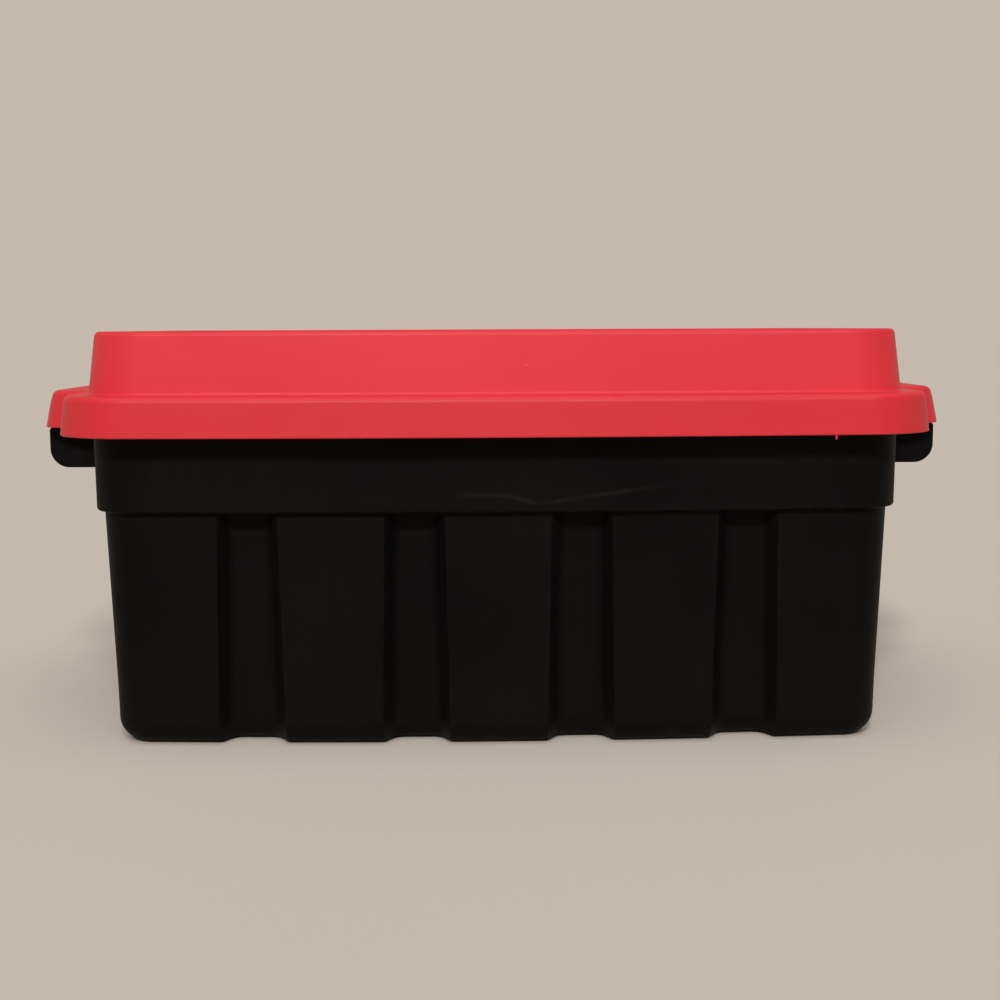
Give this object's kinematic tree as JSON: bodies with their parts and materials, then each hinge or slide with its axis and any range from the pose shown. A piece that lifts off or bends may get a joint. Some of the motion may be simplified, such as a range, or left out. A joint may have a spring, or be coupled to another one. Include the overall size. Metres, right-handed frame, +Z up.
{
  "type": "storage bin",
  "caption": "Stackable plastic storage bin: a tapering fluted tub with moulded end handles and a domed lift-off lid whose skirt covers the rim and handles.",
  "frame": {"origin": "middle of the tub's base, on the surface that the bin stands on", "axes": "+X along the bin's length from one handle to the other, +Y across it, +Z up through the lid"},
  "size_m": [0.71, 0.44, 0.3],
  "materials": {
    "tub_plastic": "fine moulded texture",
    "lid_plastic": "fine moulded texture"
  },
  "bodies": {
    "tub": {"tub": "tub_plastic"},
    "lid": {"lid": "lid_plastic"}
  },
  "joints": [
    {"name": "lid_lift", "type": "slide", "parent": "tub", "child": "lid", "axis": [0, 0, 1], "range_m": [0, 0.25]}
  ]
}
